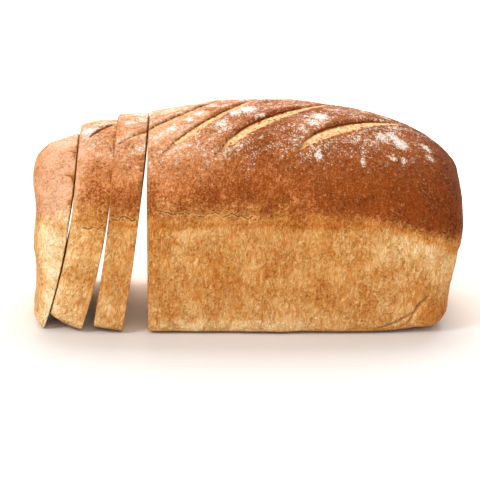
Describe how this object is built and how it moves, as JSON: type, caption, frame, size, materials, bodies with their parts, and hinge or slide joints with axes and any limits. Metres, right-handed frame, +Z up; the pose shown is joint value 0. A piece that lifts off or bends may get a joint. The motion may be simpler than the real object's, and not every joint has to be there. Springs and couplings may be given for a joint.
{
  "type": "tin loaf",
  "caption": "Farmhouse loaf baked in a tin, with slanting scores across its domed crown, and a heel and slices cut from one end that lean against the rest.",
  "frame": {"origin": "middle of the whole cut loaf, on the surface that it stands on", "axes": "+X along the loaf, from the heel and slices to the uncut end; +Z up; the side with the long opened ends of the scores faces -Y"},
  "size_m": [0.2392, 0.1176, 0.1175],
  "materials": {
    "crust": "baked crust, dull, stands for bread",
    "inner_slice_crust": "baked crust, dull, stands for bread",
    "outer_slice_crust": "baked crust, dull, stands for bread",
    "heel_crust": "baked crust, dull, stands for bread"
  },
  "bodies": {
    "root": {"loaf_body": "crust", "slice_inner": "inner_slice_crust", "slice_outer": "outer_slice_crust", "heel": "heel_crust"}
  },
  "joints": []
}
